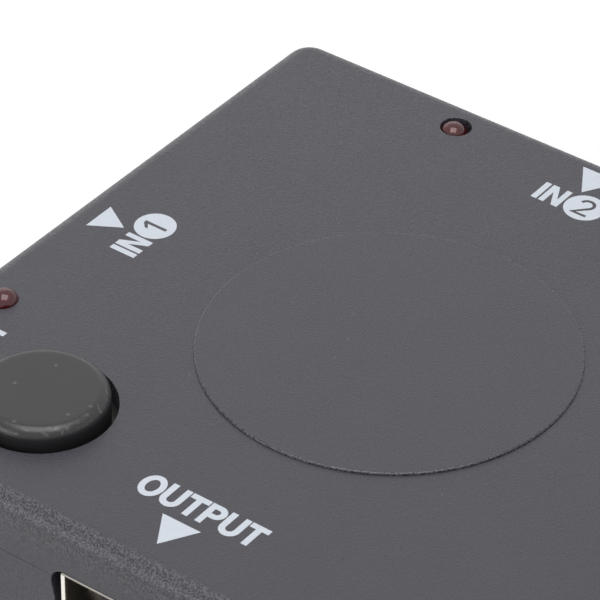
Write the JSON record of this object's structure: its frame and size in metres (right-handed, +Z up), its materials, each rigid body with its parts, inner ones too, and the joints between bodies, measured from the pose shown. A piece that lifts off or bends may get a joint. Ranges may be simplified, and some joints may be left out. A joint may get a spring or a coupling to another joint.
{
  "type": "hdmi switch box",
  "caption": "Square dark grey plastic switch box with a video socket on each side, a round select button, red indicator lamps and a raised disc on its top.",
  "frame": {"origin": "centre of the square footprint, at the underside of the feet", "axes": "+Z up; -Y is the front with the output socket; -X is the first input's side"},
  "size_m": [0.075, 0.075, 0.0211],
  "materials": {
    "case_abs": "dark grey ABS with a fine moulded grain",
    "button_abs": "dark grey ABS, smoother than the case",
    "plated_shell": "bright plated sheet steel",
    "gold_contact": "gold plated",
    "black_nylon": "black moulded nylon",
    "lamp_epoxy": "clear red epoxy",
    "tinned_steel": "tinned",
    "screw_steel": "zinc plated",
    "foot_rubber": "black rubber",
    "board_laminate": "green lacquered laminate",
    "chip_epoxy": "black moulded epoxy",
    "chip_ceramic": "tan ceramic"
  },
  "bodies": {
    "case": {"lower_shell": "case_abs", "upper_shell": "case_abs", "rubber_feet": "foot_rubber", "case_screws": "screw_steel", "circuit_board": "board_laminate", "in_1_socket_shell": "plated_shell", "in_1_socket_insulator": "black_nylon", "in_1_socket_contacts": "gold_contact", "in_2_socket_shell": "plated_shell", "in_2_socket_insulator": "black_nylon", "in_2_socket_contacts": "gold_contact", "in_3_socket_shell": "plated_shell", "in_3_socket_insulator": "black_nylon", "in_3_socket_contacts": "gold_contact", "output_socket_shell": "plated_shell", "output_socket_insulator": "black_nylon", "output_socket_contacts": "gold_contact", "push_switch_base": "black_nylon", "push_switch_cover": "tinned_steel", "push_switch_dome": "tinned_steel", "push_switch_pins": "tinned_steel", "lamp_1_lens": "lamp_epoxy", "lamp_1_leads": "tinned_steel", "lamp_2_lens": "lamp_epoxy", "lamp_2_leads": "tinned_steel", "lamp_3_lens": "lamp_epoxy", "lamp_3_leads": "tinned_steel", "switch_chip": "chip_epoxy", "regulator": "chip_epoxy", "surge_arrays": "chip_epoxy", "resistors": "chip_epoxy", "switch_chip_leads": "tinned_steel", "regulator_leads": "tinned_steel", "capacitors": "chip_ceramic"},
    "select_button": {"button_cap": "button_abs", "push_switch_plunger": "black_nylon"}
  },
  "joints": [
    {"name": "button_press", "type": "slide", "parent": "case", "child": "select_button", "axis": [0, 0, -1], "range_m": [0, 0.0003], "stiffness_N_per_m": 5000, "deforming": ["push_switch_dome"]}
  ]
}
